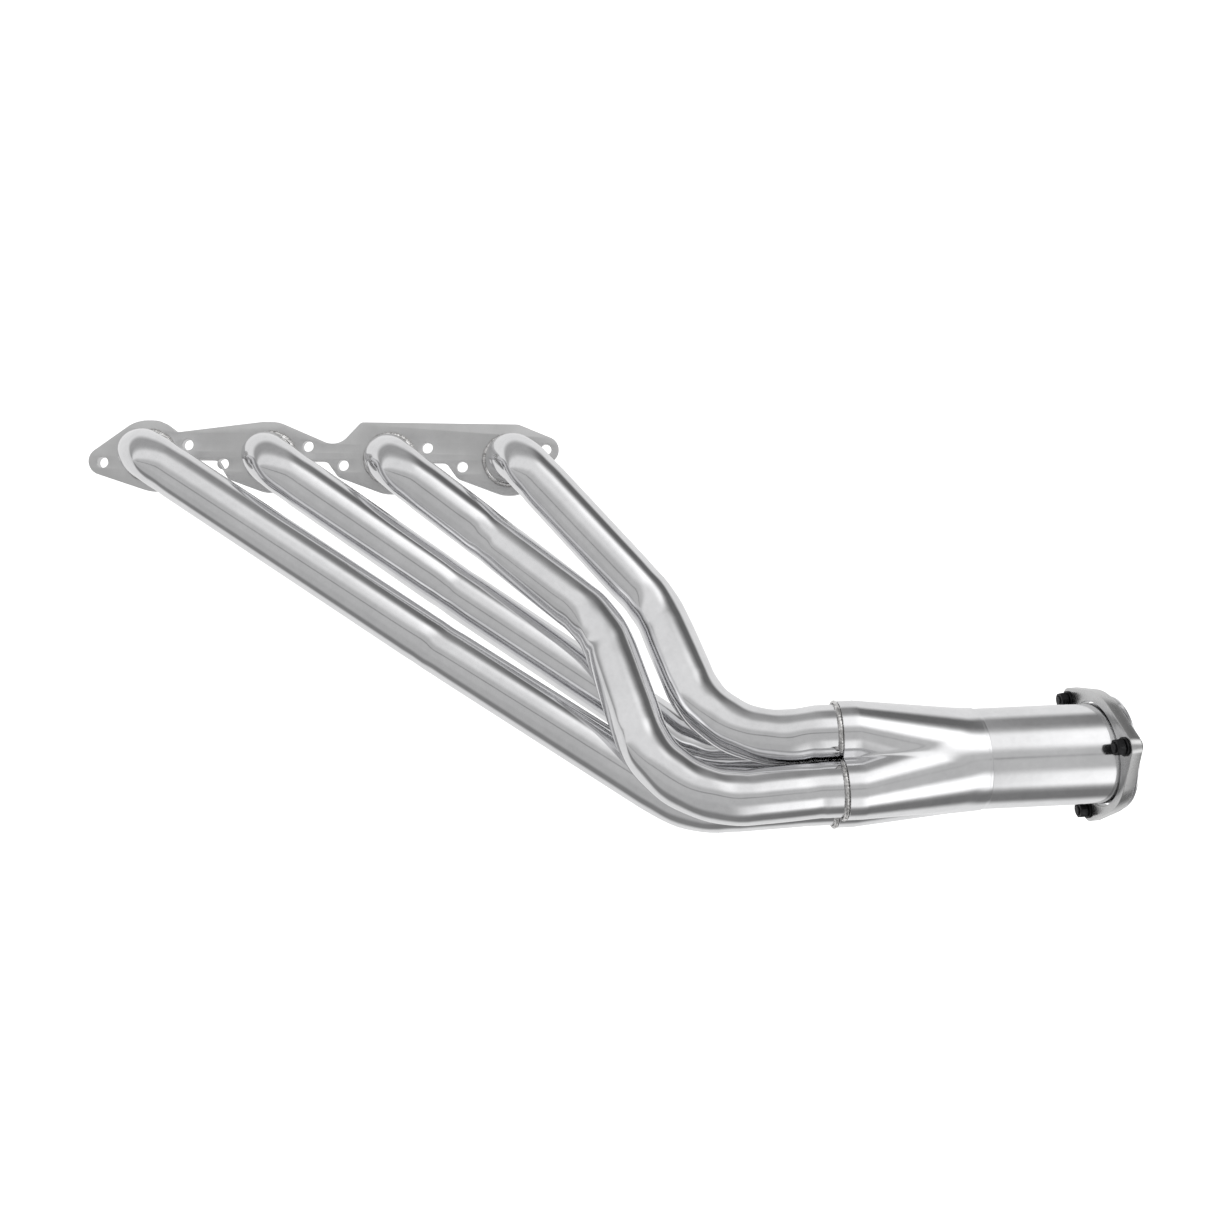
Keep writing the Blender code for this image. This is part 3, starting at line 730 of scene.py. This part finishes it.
def hexagon_mesh(name, height, bore, thread, place):
    """A hexagon with turned-down corners: a nut with a bore, or a bolt head with this length of thread."""
    sides = 96
    flat = HEX_R * math.cos(math.pi / 6)

    def across(angle, limit):
        off = (angle + math.pi / 6) % (math.pi / 3) - math.pi / 6
        off = math.pi / 6 - abs(off)
        return min(flat / math.cos(off), limit)

    rows = [
        (-height / 2, flat * 0.97),
        (-height / 2 + HEX_CHAMFER * 0.4, flat * 1.06),
        (-height / 2 + HEX_CHAMFER, HEX_R),
        (height / 2 - HEX_CHAMFER, HEX_R),
        (height / 2 - HEX_CHAMFER * 0.4, flat * 1.06),
        (height / 2, flat * 0.97),
    ]
    points = []
    for z, limit in rows:
        for i in range(sides):
            at = TAU * i / sides
            out = across(at, limit)
            points.append((out * math.cos(at), out * math.sin(at), z))
    if bore:
        ends = [(height / 2, bore + 0.0006), (height / 2 - 0.0006, bore)]
        ends += [(-height / 2 + 0.0006, bore), (-height / 2, bore + 0.0006)]
    else:
        ends = [(height / 2, flat * 0.6), (height / 2, 0.0006), (height / 2 - 0.0004, 0.0003)]
        low = -height / 2
        tip = low - thread
        rod = [(low, STUD_R)]
        for k in range(int((thread - 0.002) / THREAD_PITCH)):
            z = low - 0.0016 - k * THREAD_PITCH
            rod += [(z, STUD_R), (z - THREAD_PITCH * 0.5, STUD_R - THREAD_DEPTH)]
        rod += [(tip + 0.0006, STUD_R - 0.0004), (tip, STUD_R - 0.0011), (tip, 0.0004)]
        ends += rod[::-1]
    for z, r in ends:
        for i in range(sides):
            at = TAU * i / sides
            points.append((r * math.cos(at), r * math.sin(at), z))
    total = len(rows) + len(ends)
    mesh = mesh_from(name, points, grid_faces(total, sides, True), place)
    map_uv(mesh, total, sides, TAU * HEX_R, [z for z, _ in rows] + [z for z, _ in ends])
    return mesh


for index, (x, y) in enumerate(spots, start=1):
    seat = FLANGE @ Matrix.Translation((x, y, 0)) @ Matrix.Rotation(lobe_angle(index - 1), 4, "Z")
    washer_z = -FLANGE_T / 2 - GAP - WASHER_T / 2
    rim = [(STUD_R + 0.0005, -WASHER_T / 2), (WASHER_R, -WASHER_T / 2), (WASHER_R, WASHER_T / 2),
           (STUD_R + 0.0005, WASHER_T / 2)]
    piece(f"washer_{index}_fine",
          lathe(f"washer_{index}_fine", soft_corners(rim, 0.0002), 96,
                seat @ Matrix.Translation((0, 0, washer_z))),
          BLACK_METAL, "outlet_flange", f"flange_washer_{index}")
    nut_z = washer_z - WASHER_T / 2 - GAP - NUT_T / 2
    piece(f"nut_{index}_fine",
          hexagon_mesh(f"nut_{index}_fine", NUT_T, STUD_R + GAP, 0,
                       seat @ Matrix.Translation((0, 0, nut_z))),
          BLACK_METAL, "outlet_flange", f"flange_nut_{index}", 25)
    head_z = FLANGE_T / 2 + GAP + HEAD_T / 2
    piece(f"bolt_{index}_fine",
          hexagon_mesh(f"bolt_{index}_fine", HEAD_T, 0, FLANGE_T / 2 + STUD_OUT + HEAD_T / 2,
                       seat @ Matrix.Translation((0, 0, head_z))),
          BLACK_METAL, "outlet_flange", f"flange_bolt_{index}", 25)

# ------------------------------------------------------------ studio
FLOOR_Z = CAD_BOX[0][2] - 0.06
FLOOR_R, SWEEP_R, WALL_H = 3.0, 1.5, 4.0
PAPER_SHADE, PAPER_GLOW = 0.9, 0.70


def sweep():
    """A round seamless studio: flat floor, a quarter-circle sweep up, then a wall."""
    profile = [(0.0, 0.0), (FLOOR_R, 0.0)]
    for k in range(1, 17):
        bend = HALF * k / 16
        profile.append((FLOOR_R + SWEEP_R * math.sin(bend), SWEEP_R * (1 - math.cos(bend))))
    profile.append((FLOOR_R + SWEEP_R, WALL_H))
    sides = 96
    points = [(r * math.cos(TAU * i / sides), r * math.sin(TAU * i / sides), FLOOR_Z + z)
              for r, z in profile for i in range(sides)]
    return mesh_from("studio_floor", points, grid_faces(len(profile), sides))


floor_mesh = sweep()
floor_mesh.shade_smooth()
floor = bpy.data.objects.new("studio_floor", floor_mesh)
bpy.context.scene.collection.objects.link(floor)
paper = bpy.data.materials.new("pale_paper")
paper.use_nodes = True
sheet = paper.node_tree.nodes["Principled BSDF"]
sheet.inputs["Base Color"].default_value = (PAPER_SHADE, PAPER_SHADE, PAPER_SHADE, 1)
sheet.inputs["Roughness"].default_value = 0.9
sheet.inputs["Specular IOR Level"].default_value = 0.0
sheet.inputs["Emission Color"].default_value = (1, 1, 1, 1)
sheet.inputs["Emission Strength"].default_value = PAPER_GLOW
floor_mesh.materials.append(paper)
# The metal reflects and is lit by the tent alone.
floor.visible_glossy = False
floor.visible_diffuse = False
floor.visible_shadow = False

# Light tent: an even surround with soft boxes, each a band of directions round the length of the object.
# Elevation is 0 degrees at the front, 90 overhead, -90 at the floor and 180 behind. A box is brighter at its
# right end, towards the outlet.
FRONT_LEVEL, REAR_LEVEL = 0.55, 0.85
SIDE_SHADE = 0.30
SOFT_BOXES = (
    # elevation, half height, edge softness, level at the left, level at the right
    (45, 10, 18, 0.85, 1.50),
    (-45, 10, 18, 0.50, 1.40),
)
FLAGS = (
    # Dark cards that give the polished metal its thin dark lines.
    (90, 8, 20, 0.40, 0.15),
    (-90, 8, 25, 0.25, 0.20),
    (6, 0.5, 3, 0.32, 0.50),
)

world = bpy.data.worlds.new("light_tent")
bpy.context.scene.world = world
world.use_nodes = True
w = Nodes(world.node_tree)
world.node_tree.nodes.clear()
split = w.add("ShaderNodeSeparateXYZ")
w.link(w.add("ShaderNodeTexCoord").outputs["Generated"], split.inputs[0])
dx, dy, dz = split.outputs
elevation = w.math("MULTIPLY", w.math("ARCTAN2", dz, w.math("MULTIPLY", dy, -1.0)), 180 / math.pi)
level = w.span(dy, -0.3, 0.3, FRONT_LEVEL, REAR_LEVEL, True)


def band(level, middle, half, soft, left, right):
    """Blends one band of directions over the level so far."""
    value = w.span(dx, -0.1, 0.45, left, right, True)
    off = w.math("ABSOLUTE", w.math("SUBTRACT", elevation, middle))
    inside = w.span(off, half, half + soft, 1.0, 0.0, True)
    change = w.math("MULTIPLY", inside, w.math("SUBTRACT", value, level))
    return w.math("ADD", level, change)


for card in SOFT_BOXES + FLAGS:
    level = band(level, *card)
# The tent's right end is in shade.
level = w.math("MULTIPLY", level, w.span(dx, 0.80, 0.92, 1.0, SIDE_SHADE, True))
background = w.add("ShaderNodeBackground")
w.link(level, background.inputs["Color"])
output = w.add("ShaderNodeOutputWorld")
w.link(background.outputs[0], output.inputs["Surface"])

bpy.context.scene.view_settings.view_transform = "Standard"

# ------------------------------------------------------------ camera
CAMERA_AT = (0.2532, -1.2292, -0.1546)
CAMERA_TURN, CAMERA_NOD, CAMERA_ROLL = math.radians(-1.86), math.radians(0.03), math.radians(-0.51)
LENS_MM, SENSOR_MM = 34.7, 36.0

data = bpy.data.cameras.new("camera")
data.sensor_width = SENSOR_MM
data.lens = LENS_MM
camera = bpy.data.objects.new("camera", data)
bpy.context.scene.collection.objects.link(camera)
view = (
    Matrix.Rotation(CAMERA_TURN, 3, "Z")
    @ Matrix.Rotation(CAMERA_NOD, 3, "X")
    @ Matrix.Rotation(CAMERA_ROLL, 3, "Y")
)
right, forward, up = view.col
camera.matrix_world = (
    Matrix.Translation(CAMERA_AT)
    @ Matrix((right, up, -forward)).transposed().to_4x4()
)
bpy.context.scene.camera = camera

bpy.context.view_layer.update()
